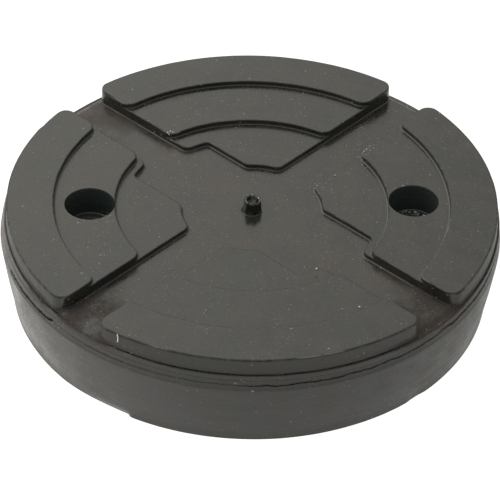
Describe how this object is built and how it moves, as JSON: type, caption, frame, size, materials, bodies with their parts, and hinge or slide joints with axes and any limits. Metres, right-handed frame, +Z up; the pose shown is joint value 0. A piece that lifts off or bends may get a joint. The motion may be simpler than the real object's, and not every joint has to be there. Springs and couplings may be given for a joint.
{
  "type": "vehicle lift arm pad",
  "caption": "Round tapered rubber pad for a lift arm, its top in stepped raised sectors parted by crossed channels, with stepped screw holes and a torn feed stub.",
  "frame": {"origin": "centre of the flat underside, on the pad's axis", "axes": "+Z up along the axis towards the face with the raised sectors, +X through the right-hand screw hole, -Y towards the side nearest the camera"},
  "size_m": [0.14, 0.14, 0.0295],
  "materials": {
    "rubber": "black moulded rubber, satin, with a little pale dust"
  },
  "bodies": {
    "root": {"rubber_pad": "rubber"}
  },
  "joints": []
}
